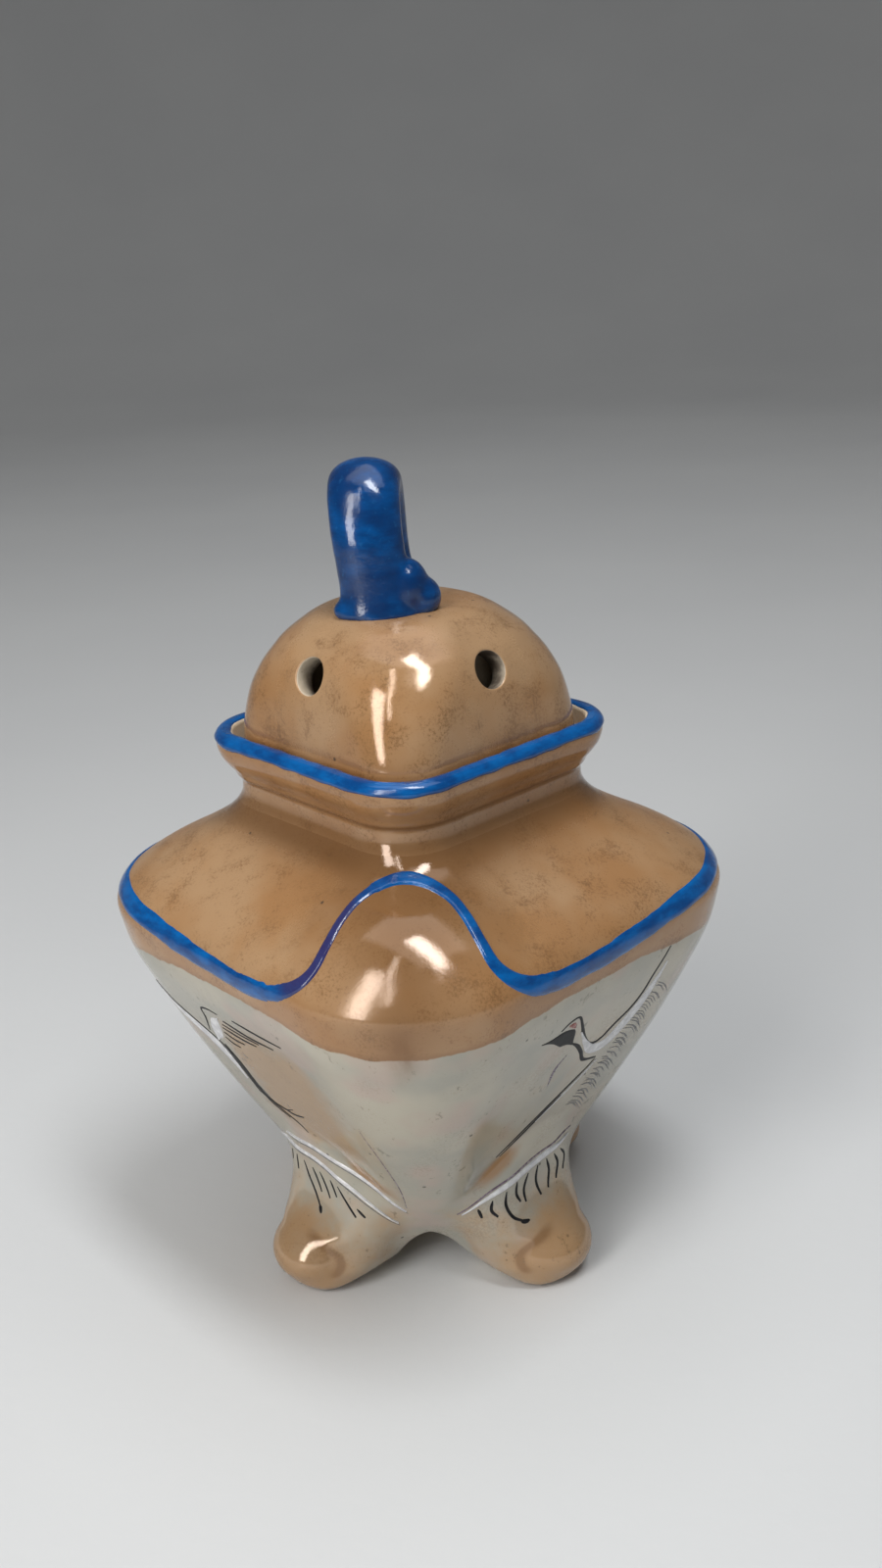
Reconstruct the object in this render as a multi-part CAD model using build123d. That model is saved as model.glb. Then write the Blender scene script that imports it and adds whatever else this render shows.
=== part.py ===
from build123d import *
import os

# Lidded incense burner (koro) in slip-cast earthenware, built in millimetres.
# Z is up and the feet stand on Z = 0. The plan is a square with rounded corners lying on the
# X and Y axes, so the four flat faces look along the diagonals and the front corner is at -Y.
# A section of the square is given by S, the half diagonal its sharp corners would have, and by
# R, the radius those corners are rounded with. The distance from the axis to a face is S / 1.414.

# ---- heights of the main levels ----
FLOOR_Z = 8.0            # underside of the hollow body, between the feet
EDGE_Z = 65.0            # sharp shoulder edge
JOINT_Z = 80.5           # where the collar is luted to the shoulder
LEDGE_Z = 87.0           # gallery ledge the lid rests on
RIM_Z = 92.0             # top of the collar

# ---- body outside: (Z, S, R) ----
BODY_LOWER = [
    (FLOOR_Z, 22.0, 7.0),
    (14.0, 27.2, 8.6),
    (20.0, 31.6, 10.0),
    (30.0, 38.8, 12.2),
    (40.0, 45.7, 14.6),
    (50.0, 52.2, 18.0),
    (59.0, 57.5, 21.6),
    (EDGE_Z, 59.3, 23.0),
]
BODY_SHOULDER = [
    (EDGE_Z, 59.3, 23.0),
    (67.4, 57.4, 22.0),
    (71.0, 51.0, 19.0),
    (74.2, 43.0, 15.4),
    (77.4, 36.0, 11.8),
    (JOINT_Z, 32.0, 9.5),
]

# ---- body inside, leaving a wall of about 4 mm: (Z, S, R) ----
CAVITY_LOWER = [
    (13.0, 19.5, 5.0),
    (20.0, 25.8, 6.0),
    (30.0, 33.0, 8.2),
    (40.0, 39.8, 10.6),
    (50.0, 46.2, 14.0),
    (58.0, 50.8, 17.4),
    (62.5, 52.4, 18.6),
]
CAVITY_SHOULDER = [
    (62.5, 52.4, 18.6),
    (66.6, 46.4, 16.0),
    (70.0, 38.6, 12.6),
    (73.2, 31.6, 9.4),
    (77.0, 27.2, 7.4),
    (JOINT_Z, 26.2, 6.0),
]

# ---- swelling under the arch of the shoulder line, front and back ----
NOSE_RADII = (18.0, 16.6, 13.6)
NOSE_Y = 32.5
NOSE_Z = 63.0

# ---- neck and collar outside: (Z, S, R) ----
NECK = [
    (JOINT_Z, 32.0, 9.5),
    (83.2, 31.1, 9.2),
    (85.4, 31.9, 9.2),
    (87.2, 33.9, 9.8),
    (89.0, 35.2, 10.2),
]
RIM_S, RIM_R = 35.2, 10.2
MOUTH_S, MOUTH_R = 31.0, 7.0         # mouth above the gallery ledge
BORE_S, BORE_R = 26.2, 6.0           # bore below the ledge
RIM_ROUND = 1.2

# ---- blue enamel on the rim ----
ENAMEL = 0.6             # thickness of the film on the rim

# ---- lid ----
DOME = [
    (LEDGE_Z, 29.8, 11.5),
    (92.0, 29.9, 11.6),
    (96.0, 29.5, 12.2),
    (99.0, 29.0, 12.8),
    (102.5, 27.8, 13.8),
    (106.0, 25.6, 14.8),
    (109.0, 21.8, 13.8),
    (111.4, 15.4, 10.6),
]
SEAT_Z = 111.4                       # small flat on top that the knob is luted to
DOME_INSIDE = [
    (90.0, 25.2, 7.0),
    (96.0, 25.0, 8.6),
    (99.0, 24.4, 9.4),
    (102.5, 22.8, 10.6),
    (105.5, 19.6, 10.8),
    (108.2, 12.0, 8.2),
]
FLANGE_S, FLANGE_R = 25.2, 7.0       # locating flange under the lid
FLANGE_WALL = 2.4
FLANGE_LOW_Z = 83.0
VENT_RADIUS = 2.9
VENT_Z = 104.0
VENT_FACE = 19.4                     # distance of a vent from the axis
VENT_TILT = 20.0

# ---- feet: (Z, inner end, half width there, mid length, half width there, outer end) ----
FOOT = [
    (0.0, 18.0, 5.6, 27.0, 5.6, 31.4),
    (3.0, 15.0, 8.6, 27.6, 8.4, 33.2),
    (6.0, 13.2, 11.4, 26.0, 10.4, 32.4),
    (9.0, 13.0, 12.4, 24.6, 11.6, 29.8),
    (12.5, 13.0, 12.6, 23.2, 12.6, 27.4),
    (17.0, 13.0, 12.4, 22.4, 12.8, 25.6),
    (22.0, 13.0, 11.4, 22.0, 10.8, 25.3),
    (27.0, 13.0, 9.4, 22.0, 7.4, 25.6),
]
TOE_RADII = (8.2, 8.4, 5.6)
TOE_CENTRE = (25.3, 5.7)

# ---- knob on the lid, a thick loop of clay bent over and leaning to the left ----
# (X, Y, Z of the section centre, turn of the section about X, half width, half thickness)
KNOB = [
    (-2.6, -6.5, SEAT_Z, 0.0, 6.4, 4.0),
    (-3.1, -6.5, 114.4, 0.0, 5.3, 3.5),
    (-3.9, -6.5, 118.4, 0.0, 4.9, 3.2),
    (-4.5, -6.2, 123.2, -8.0, 4.9, 3.2),
    (-4.8, -4.3, 128.3, -44.0, 5.0, 3.3),
    (-4.7, 0.0, 130.6, -90.0, 5.0, 3.4),
    (-4.4, 4.3, 128.3, -136.0, 4.9, 3.3),
    (-4.0, 6.2, 123.2, -172.0, 4.7, 3.2),
    (-3.6, 6.5, 118.4, -180.0, 4.6, 3.2),
    (-3.0, 6.5, 114.4, -180.0, 5.0, 3.5),
    (-2.2, 6.5, SEAT_Z, -180.0, 6.0, 4.0),
]
# swollen toes of the front root, to its right and left: (X, Y, half lengths)
KNOB_LOBES = [
    (2.5, -5.2, 4.3, 4.2, 4.2),
    (-6.4, -4.8, 3.6, 3.6, 2.6),
]


def level(z, s, r):
    """Face of the rounded square at height z, with its corners on the X and Y axes."""
    side = s * 2 ** 0.5
    return Pos(0, 0, z) * Rot(0, 0, 45) * RectangleRounded(side, side, r)


def through(levels):
    """Solid that runs smoothly through a list of (Z, S, R) levels."""
    return loft([level(*one) for one in levels])


def prism(s, r, low, high):
    """Straight rounded-square block between two heights."""
    return extrude(level(low, s, r), high - low)


def ellipsoid(x, y, z, a, b, c):
    """Ellipsoid with its centre and its three half lengths."""
    return Pos(x, y, z) * scale(Sphere(1.0), by=(a, b, c))


def body_outside():
    """Outer form of the hollow body, with the swelling on the front and back corners."""
    solid = through(BODY_LOWER) + through(BODY_SHOULDER)
    for side in (-1, 1):
        solid += ellipsoid(0, side * NOSE_Y, NOSE_Z, *NOSE_RADII)
    return solid


# ---- vessel ----
outside = body_outside()
cavity = through(CAVITY_LOWER) + through(CAVITY_SHOULDER)
mouth = prism(BORE_S, BORE_R, JOINT_Z - 1.0, JOINT_Z + 1.0)
body_shell = outside - cavity - mouth

# Neck and collar ring: a hollow neck, a bulging band, and a mouth stepped to hold the lid.
band = prism(RIM_S, RIM_R, NECK[-1][0], RIM_Z)
band = fillet(band.faces().sort_by(Axis.Z)[-1].outer_wire().edges(), RIM_ROUND)
collar = through(NECK) + band
collar -= prism(BORE_S, BORE_R, JOINT_Z - 1.0, LEDGE_Z + 1.0)
collar -= prism(MOUTH_S, MOUTH_R, LEDGE_Z, RIM_Z + 1.0)

# Rim enamel: a thin flat ring on top of the collar.
rim_line = prism(RIM_S - RIM_ROUND * 1.414, RIM_R - RIM_ROUND, RIM_Z, RIM_Z + ENAMEL)
rim_line -= prism(MOUTH_S + 0.3, MOUTH_R + 0.2, RIM_Z - 1.0, RIM_Z + 2.0)


def foot_blank():
    """One foot pointing along +X: a leg that narrows to a swollen toe."""
    sections = []
    for z, inner, inner_half, mid, mid_half, outer in FOOT:
        edge = Spline(
            (inner, -inner_half),
            (mid, -mid_half),
            (outer, 0),
            (mid, mid_half),
            (inner, inner_half),
        )
        back = Line((inner, inner_half), (inner, -inner_half))
        sections.append(Pos(0, 0, z) * make_face([edge, back]))
    leg = loft(sections)
    toe = ellipsoid(TOE_CENTRE[0], 0, TOE_CENTRE[1], *TOE_RADII)
    whole = leg + toe
    below = Pos(25, 0, -5) * Box(60, 60, 10)
    return whole - below


blank = foot_blank()
feet = {}
for name, angle in (
    ("foot_front_right", -45),
    ("foot_back_right", 45),
    ("foot_back_left", 135),
    ("foot_front_left", 225),
):
    feet[name] = (Rot(0, 0, angle) * blank) - outside

# ---- lid ----
lid_dome = through(DOME) - through(DOME_INSIDE)
lid_dome -= prism(FLANGE_S, FLANGE_R, LEDGE_Z - 1.0, DOME_INSIDE[0][0])
for angle in (45, 135, 225, 315):
    drill = Pos(VENT_FACE, 0, VENT_Z) * Rot(0, 90 - VENT_TILT, 0) * Cylinder(VENT_RADIUS, 16)
    lid_dome -= Rot(0, 0, angle) * drill

lid_flange = prism(FLANGE_S, FLANGE_R, FLANGE_LOW_Z, 90.0)
lid_flange -= prism(
    FLANGE_S - FLANGE_WALL * 1.414, FLANGE_R - FLANGE_WALL, FLANGE_LOW_Z - 1.0, 91.0
)

sections = []
for x, y, z, turn, half_width, half_thickness in KNOB:
    sections.append(Pos(x, y, z) * Rot(turn, 0, 0) * Ellipse(half_width, half_thickness))
lid_finial = loft(sections)
for x, y, half_x, half_y, height in KNOB_LOBES:
    dome = Sphere(1.0, arc_size1=0, align=(Align.CENTER, Align.CENTER, Align.MIN))
    lid_finial += Pos(x, y, SEAT_Z) * scale(dome, by=(half_x, half_y, height))

parts = {
    "body_shell": body_shell,
    "collar": collar,
    "rim_line": rim_line,
    "lid_dome": lid_dome,
    "lid_flange": lid_flange,
    "lid_finial": lid_finial,
}
parts.update(feet)

os.makedirs("parts", exist_ok=True)
for name, shape in parts.items():
    export_step(shape, f"parts/{name}.step")
    print(name, [round(value, 1) for value in shape.bounding_box().size], len(shape.solids()))
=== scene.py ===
"""Looks of the lidded incense burner: a lustre-glazed pot on four feet, with a loose pierced lid.

The plan is a square with rounded corners on the X and Y axes, so the four faces look along the
diagonals. Shapes are worked out in millimetres from the frame's boxes and turned into metres when a
mesh is made. On a face, n is the distance out from the axis, t the distance to the right of the
face's middle as seen from outside, and z the height.
"""
import math

import bmesh
import bpy
import numpy as np
from mathutils import Matrix, Vector


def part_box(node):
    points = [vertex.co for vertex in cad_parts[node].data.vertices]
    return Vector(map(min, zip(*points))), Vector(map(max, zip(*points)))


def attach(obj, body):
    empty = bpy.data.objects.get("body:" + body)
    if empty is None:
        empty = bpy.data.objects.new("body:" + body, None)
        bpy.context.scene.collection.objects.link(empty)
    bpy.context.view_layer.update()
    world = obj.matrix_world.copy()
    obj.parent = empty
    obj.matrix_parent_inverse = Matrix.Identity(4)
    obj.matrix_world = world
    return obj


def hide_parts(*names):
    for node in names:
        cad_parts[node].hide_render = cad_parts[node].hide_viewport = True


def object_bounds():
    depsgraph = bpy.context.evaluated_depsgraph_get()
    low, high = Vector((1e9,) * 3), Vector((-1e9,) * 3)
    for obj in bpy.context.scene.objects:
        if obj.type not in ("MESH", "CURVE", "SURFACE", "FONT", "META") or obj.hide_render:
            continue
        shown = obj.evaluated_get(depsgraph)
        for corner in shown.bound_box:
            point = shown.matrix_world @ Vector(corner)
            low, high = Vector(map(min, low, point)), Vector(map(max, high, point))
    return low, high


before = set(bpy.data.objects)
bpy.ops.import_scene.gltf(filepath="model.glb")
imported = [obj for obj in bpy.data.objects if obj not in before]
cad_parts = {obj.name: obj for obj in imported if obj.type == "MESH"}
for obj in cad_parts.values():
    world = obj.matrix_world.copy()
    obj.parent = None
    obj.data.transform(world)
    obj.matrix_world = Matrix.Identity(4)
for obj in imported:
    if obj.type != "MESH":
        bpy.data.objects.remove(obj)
cad_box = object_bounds()

MM = 0.001
ROOT2 = math.sqrt(2)
TURNS = 448                       # points round the pot in each ring


def heights(node):
    """Lowest and highest point of a CAD node in millimetres."""
    low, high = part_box(node)
    return low[2] / MM, high[2] / MM


# ---------------------------------------------------------------- heights from the frame
FLOOR_Z, JOINT_Z = heights("body_shell")        # underside between the feet, and foot of the neck
LEDGE_Z, SEAT_Z = heights("lid_dome")           # ledge that the lid sits on, and flat under the knob
FLANGE_LOW, FLANGE_HIGH = heights("lid_flange")
RIM_Z, KNOB_TOP = heights("collar")[1], heights("lid_finial")[1]
EDGE_Z = 65.0                                   # shoulder edge

# ---------------------------------------------------------------- profiles, (Z, S, R)
# S is the half diagonal of the square before rounding, R the corner radius.
LOWER = [
    (-1.0, 14.4, 4.6), (FLOOR_Z, 22.0, 7.0), (14.0, 27.2, 8.6), (20.0, 31.6, 10.0),
    (30.0, 38.8, 12.2), (40.0, 45.7, 14.6), (50.0, 52.2, 18.0), (59.0, 57.5, 21.6),
    (EDGE_Z, 59.3, 23.0),
]
UPPER = [
    (EDGE_Z, 59.3, 23.0), (67.4, 57.4, 22.0), (71.0, 51.0, 19.0), (74.2, 43.0, 15.4),
    (77.4, 36.0, 11.8), (JOINT_Z, 32.0, 9.5), (82.3, 31.2, 9.3), (83.6, 31.1, 9.2),
    (84.5, 31.3, 9.2), (84.9, 31.9, 9.4), (85.8, 32.4, 9.5), (87.2, 33.7, 9.8),
    (88.6, 34.7, 10.1), (90.2, 35.1, 10.2), (91.5, 35.0, 10.1),
]
CAVITY = [
    (13.0, 19.5, 5.0), (20.0, 25.8, 6.0), (30.0, 33.0, 8.2), (40.0, 39.8, 10.6),
    (50.0, 46.2, 14.0), (58.0, 50.8, 17.4), (62.5, 52.0, 18.6), (66.6, 46.4, 16.0),
    (70.0, 38.6, 12.6), (73.2, 31.6, 9.4), (77.0, 27.2, 7.4), (JOINT_Z, 26.2, 6.0),
]
MOUTH_S, MOUTH_R = 31.0, 7.0
BORE_S, BORE_R = 26.2, 6.0
RIM_ROUND = 1.2

NOSE_RADII = np.array([18.0, 15.8, 13.6])
NOSE_Y, NOSE_Z = 32.5, 63.0

# ---- feet: (Z, outer end, half width)
LEG = [
    (-1.0, 28.6, 5.6), (0.0, 29.4, 6.4), (1.6, 30.2, 7.5), (3.6, 30.2, 8.7), (6.0, 28.8, 9.7),
    (9.0, 27.3, 10.8), (12.5, 26.4, 11.9), (17.0, 25.2, 12.2), (22.0, 24.9, 10.6), (27.0, 25.2, 7.6),
    (34.0, 24.0, 4.0),
]
# middle of a toe: out from the axis, towards the nearer side corner, up
TOE_CENTRE = np.array([24.6, 1.5, 5.2])
TOE_RADII = np.array([8.8, 8.2, 6.0])
PAD_INNER, PAD_STEP = 13.0, 3.4   # where the flat under a foot begins, and the ramp up from it
ARCH_START, ARCH_END = 3.6, 14.2  # half width of the flat under a foot, and where the arch is full

FINE = 0.02                       # spacing of the tables that stand for curves, mm


def curve_of(levels):
    """Smooth monotone curves through (z, a, b, ...) rows: a function of z giving an array per column."""
    rows = np.array(levels, float)
    z, values = rows[:, 0], rows[:, 1:]
    step = np.diff(z)[:, None]
    slope = np.diff(values, axis=0) / step
    tangent = np.zeros_like(values)
    tangent[0], tangent[-1] = slope[0], slope[-1]
    same = slope[:-1] * slope[1:] > 0
    mean = np.where(same, 2 * slope[:-1] * slope[1:] / np.where(same, slope[:-1] + slope[1:], 1), 0)
    tangent[1:-1] = mean

    fine = np.arange(z[0], z[-1] + FINE, FINE).clip(z[0], z[-1])
    i = np.clip(np.searchsorted(z, fine) - 1, 0, len(z) - 2)
    d = (z[i + 1] - z[i])[:, None]
    u = (fine - z[i])[:, None] / d
    a, b, ta, tb = values[i], values[i + 1], tangent[i] * d, tangent[i + 1] * d
    table = (
        a * (1 + 2 * u) * (1 - u) ** 2 + ta * u * (1 - u) ** 2
        + b * u * u * (3 - 2 * u) + tb * u * u * (u - 1)
    )
    return lambda height: [np.interp(height, fine, column) for column in table.T]


lower_curve, upper_curve = curve_of(LOWER), curve_of(UPPER)
cavity_curve, leg_curve = curve_of(CAVITY), curve_of(LEG)


def smoothstep(x, start, end):
    """0 before start, 1 after end, smooth between."""
    u = np.clip((x - start) / (end - start), 0, 1)
    return u * u * (3 - 2 * u)


def bell(x, centre, width):
    """1 at the centre, falling off smoothly on both sides."""
    return np.exp(-(((x - centre) / width) ** 2))


def soft_min(a, b, k):
    """Smaller of two distances, blended where they are within k of each other."""
    h = np.maximum(k - np.abs(a - b), 0) / k
    return np.minimum(a, b) - h * h * k / 4


def rounded_box(x, y, half_x, half_y, radius):
    """Signed plan distance to a rounded box about the origin."""
    qx = np.abs(x) - half_x + radius
    qy = np.abs(y) - half_y + radius
    outside = np.hypot(np.maximum(qx, 0), np.maximum(qy, 0))
    return outside + np.minimum(np.maximum(qx, qy), 0) - radius


def square_distance(x, y, s, r):
    """Signed plan distance to the rounded square with its corners on the axes."""
    half = s / ROOT2
    return rounded_box((x + y) / ROOT2, (x - y) / ROOT2, half, half, r)


def folded(x, y):
    """How far out a point is on its face, and how far from the face's middle to a side corner."""
    return (np.abs(x) + np.abs(y)) / ROOT2, (np.abs(x) - np.abs(y)) / ROOT2


def ellipsoid_distance(x, y, z, radii):
    """Near distance to an ellipsoid about the origin."""
    a = np.sqrt((x / radii[0]) ** 2 + (y / radii[1]) ** 2 + (z / radii[2]) ** 2)
    b = np.sqrt((x / radii[0] ** 2) ** 2 + (y / radii[1] ** 2) ** 2 + (z / radii[2] ** 2) ** 2)
    return a * (a - 1) / np.maximum(b, 1e-6)


def outside_table():
    """Fine table of (z, S, R) of the outside; a running mean softens the edge of the shoulder."""
    z = np.arange(-2.0, RIM_Z + 1, FINE)
    window = 0.9 - 0.75 * smoothstep(z, 76.0, 81.0)
    offsets = (-1.0, -0.5, 0.0, 0.5, 1.0)
    total = 0.0
    for offset in offsets:
        h = z + offset * window
        total = total + np.where(h < EDGE_Z, lower_curve(h), upper_curve(h))
    s, r = total / len(offsets)
    steep = np.gradient(s, z) / ROOT2
    return z, s, r, 1 / np.sqrt(1 + steep * steep)


SECTION_Z, SECTION_S, SECTION_R, SECTION_LEAN = outside_table()


def section(z):
    """S and R of the outside at height z."""
    return np.interp(z, SECTION_Z, SECTION_S), np.interp(z, SECTION_Z, SECTION_R)


def toe_distance(x, y, z):
    """Near distance to the swollen toe of the nearest foot."""
    n, t = folded(x, y)
    return ellipsoid_distance(n - TOE_CENTRE[0], t - TOE_CENTRE[1], z - TOE_CENTRE[2], TOE_RADII)


def body_distance(x, y, z):
    """Near distance to the outside of the vessel below its neck, feet and swellings included."""
    s, r = section(z)
    shell = square_distance(x, y, s, r) * np.interp(z, SECTION_Z, SECTION_LEAN)
    nose = ellipsoid_distance(x, np.abs(y) - NOSE_Y, z - NOSE_Z, NOSE_RADII)
    shape = soft_min(shell, nose, 2.6)
    n, t = folded(x, y)
    outer, width = leg_curve(z)
    leg = rounded_box(n, t, outer, width, np.minimum(width * 0.9, 7.4))
    leg = leg + np.maximum(z - 27.0, 0) * 0.8
    shape = soft_min(shape, leg, 4.2)
    crease = 0.9 + 4.1 * smoothstep(z, 6.5, 10.5) + 2.0 * (1 - smoothstep(z, 1.5, 4.0))
    return soft_min(shape, toe_distance(x, y, z), crease)


def under_height(x, y):
    """Height of the underside: nought under the feet, rising to the body's floor between them."""
    n, t = folded(x, y)
    rise = np.clip((np.abs(t) - ARCH_START) / (ARCH_END - ARCH_START), 0, 1) ** 1.35
    foot = smoothstep(n, PAD_INNER, PAD_INNER + PAD_STEP) * (1 - rise)
    return (FLOOR_Z + 0.7) * (1 - foot)


def crossing(distance, near, far, steps=56, halvings=16):
    """Outermost zero of distance(u) for u going from far in to near, for arrays of rays."""
    high = np.array(far, float)
    low = np.array(near, float)
    found = np.zeros(high.shape, bool)
    outer, inner = high.copy(), low.copy()
    previous = high.copy()
    for i in range(1, steps + 1):
        u = high + (low - high) * i / steps
        hit = (distance(u) < 0) & ~found
        inner = np.where(hit, u, inner)
        outer = np.where(hit, previous, outer)
        found |= hit
        previous = u
    for _ in range(halvings):
        middle = (inner + outer) / 2
        inside = distance(middle) < 0
        inner = np.where(inside, middle, inner)
        outer = np.where(inside, outer, middle)
    return (inner + outer) / 2


def square_radius(angle, s, r):
    """Distance from the axis to a rounded square at an angle."""
    angle = np.asarray(angle, float)
    s = np.broadcast_to(s, angle.shape)
    r = np.broadcast_to(r, angle.shape)
    c, sn = np.cos(angle), np.sin(angle)
    return crossing(lambda u: square_distance(u * c, u * sn, s, r), np.full(angle.shape, 0.5), s + 1.0)


def outline(angle, s, r, z):
    """Points of a rounded square ring at height z."""
    radius = square_radius(angle, s, r)
    height = np.broadcast_to(z, angle.shape)
    return np.stack([radius * np.cos(angle), radius * np.sin(angle), height], -1)


def grown(s, r, distance):
    """S and R of the rounded square moved outwards by a distance."""
    return s + ROOT2 * distance, np.maximum(r + distance, 0.2)


def even_levels(curve, start, stop, step):
    """Heights between start and stop, evenly spaced along the profile at a corner."""
    fine = np.linspace(start, stop, 1500)
    s, r = curve(fine)
    reach = s - (ROOT2 - 1) * r
    length = np.concatenate([[0], np.cumsum(np.hypot(np.diff(fine), np.diff(reach)))])
    count = max(2, int(round(length[-1] / step)) + 1)
    return np.interp(np.linspace(0, length[-1], count), length, fine)


def add_object(name, data):
    """Puts a mesh, a lamp or a camera into the scene."""
    made = bpy.data.objects.new(name, data)
    bpy.context.scene.collection.objects.link(made)
    return made


class Builder:
    """Collects points and the faces between them, each face with the number of its material."""

    def __init__(self):
        self.points, self.faces, self.kinds, self.count = [], [], [], 0

    def ring(self, points):
        """Adds points and gives their indices."""
        points = np.asarray(points, float).reshape(-1, 3)
        self.points.append(points)
        self.count += len(points)
        return list(range(self.count - len(points), self.count))

    def band(self, a, b, kind=0, left_out=()):
        """Joins two closed rings of as many points with quads, apart from those left out."""
        for i in range(len(a)):
            if i not in left_out:
                j = (i + 1) % len(a)
                self.faces.append((a[i], a[j], b[j], b[i]))
                self.kinds.append(kind)

    def fan(self, ring, point, kind=0):
        """Closes a ring to one point."""
        tip = self.ring([point])[0]
        for i in range(len(ring)):
            self.faces.append((ring[i], ring[(i + 1) % len(ring)], tip))
            self.kinds.append(kind)

    def cap(self, ring):
        """Closes a small ring with one face."""
        self.faces.append(tuple(ring))
        self.kinds.append(0)

    def stack(self, rows, kind=0):
        """Adds rows of points and the bands between them; gives the rings."""
        rings = [self.ring(row) for row in rows]
        for a, b in zip(rings, rings[1:]):
            self.band(a, b, kind)
        return rings

    def piece(self, name, body, slot, materials, stands_for=(), masks=None, sharp_angle=50):
        """Makes the closed mesh as a piece that rides on a CAD body."""
        points = np.concatenate(self.points)
        mesh = bpy.data.meshes.new(name)
        mesh.from_pydata((points * MM).tolist(), [], self.faces)
        for material in materials:
            mesh.materials.append(material)
        mesh.polygons.foreach_set("material_index", self.kinds)
        work = bmesh.new()
        work.from_mesh(mesh)
        bmesh.ops.recalc_face_normals(work, faces=work.faces)
        work.to_mesh(mesh)
        work.free()
        for key, values in (masks(points) if masks else {}).items():
            layer = mesh.attributes.new(key, "FLOAT", "POINT")
            layer.data.foreach_set("value", np.asarray(values, np.float32))
        mesh.shade_smooth()
        mesh.set_sharp_from_angle(angle=math.radians(sharp_angle))
        made = add_object(name, mesh)
        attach(made, body)
        if stands_for:
            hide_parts(*stands_for)
        return made


# ---------------------------------------------------------------- materials
class Nodes:
    """Short way to write a procedural material."""

    def __init__(self, name):
        self.material = bpy.data.materials.new(name)
        self.material.use_nodes = True
        self.tree = self.material.node_tree
        self.shader = next(n for n in self.tree.nodes if n.type == "BSDF_PRINCIPLED")
        self.place = self.tree.nodes.new("ShaderNodeTexCoord").outputs["Object"]

    def link(self, source, socket):
        """Links a socket, or sets a plain value."""
        if isinstance(source, bpy.types.NodeSocket):
            self.tree.links.new(source, socket)
        else:
            socket.default_value = source

    def noise(self, size, detail=3.0, rough=0.5, stretch=None, shift=0.0):
        """Noise between nought and one with features of a size in millimetres."""
        node = self.tree.nodes.new("ShaderNodeTexNoise")
        node.inputs["Scale"].default_value = 1.0 / (size * MM)
        node.inputs["Detail"].default_value = detail
        node.inputs["Roughness"].default_value = rough
        where = self.place
        if stretch is not None or shift:
            mapping = self.tree.nodes.new("ShaderNodeMapping")
            self.tree.links.new(self.place, mapping.inputs["Vector"])
            mapping.inputs["Location"].default_value = (shift, shift * 0.7, -shift)
            mapping.inputs["Scale"].default_value = stretch or (1, 1, 1)
            where = mapping.outputs["Vector"]
        self.tree.links.new(where, node.inputs["Vector"])
        return node.outputs["Fac"]

    def cells(self, size):
        """Distance to the nearest of scattered points, where 1 is their spacing in millimetres."""
        node = self.tree.nodes.new("ShaderNodeTexVoronoi")
        node.inputs["Scale"].default_value = 1.0 / (size * MM)
        self.tree.links.new(self.place, node.inputs["Vector"])
        return node.outputs["Distance"]

    def mask(self, name):
        """A mask stored on the mesh."""
        node = self.tree.nodes.new("ShaderNodeAttribute")
        node.attribute_name = name
        return node.outputs["Fac"]

    def times(self, a, b, operation="MULTIPLY"):
        """Product of two values."""
        node = self.tree.nodes.new("ShaderNodeMath")
        node.operation = operation
        for value, socket in zip((a, b), node.inputs):
            self.link(value, socket)
        return node.outputs[0]

    def plus(self, a, b):
        """Sum of two values."""
        return self.times(a, b, "ADD")

    def ramp(self, value, low, high, out_low=0.0, out_high=1.0):
        """Smooth step of a value from low to high."""
        node = self.tree.nodes.new("ShaderNodeMapRange")
        node.interpolation_type = "SMOOTHSTEP"
        node.inputs["From Min"].default_value = low
        node.inputs["From Max"].default_value = high
        node.inputs["To Min"].default_value = out_low
        node.inputs["To Max"].default_value = out_high
        self.link(value, node.inputs["Value"])
        return node.outputs["Result"]

    def mix(self, share, a, b):
        """Mix of two colours."""
        node = self.tree.nodes.new("ShaderNodeMix")
        node.data_type = "RGBA"
        self.link(share, node.inputs["Factor"])
        for colour, socket in zip((a, b), (node.inputs[6], node.inputs[7])):
            self.link((*colour, 1.0) if isinstance(colour, tuple) else colour, socket)
        return node.outputs[2]

    def wash(self, under, over, value, low, high, most=1.0):
        """One colour over another, the stronger the higher a value is between low and high."""
        return self.mix(self.ramp(value, low, high, 0.0, most), under, over)

    def bump(self, height, depth, under=None):
        """Relief of a depth in millimetres, over an earlier relief if there is one."""
        node = self.tree.nodes.new("ShaderNodeBump")
        node.inputs["Strength"].default_value = 1.0
        node.inputs["Distance"].default_value = depth * MM
        self.link(height, node.inputs["Height"])
        if under is not None:
            self.link(under, node.inputs["Normal"])
        return node.outputs["Normal"]

    def finish(self, colour, roughness, normal, **settings):
        """Connects the shader; settings are constants on its own sockets."""
        self.link(colour, self.shader.inputs["Base Color"])
        self.link(roughness, self.shader.inputs["Roughness"])
        self.link(normal, self.shader.inputs["Normal"])
        for key, value in settings.items():
            self.shader.inputs[key.replace("_", " ")].default_value = value
        return self.material


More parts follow.
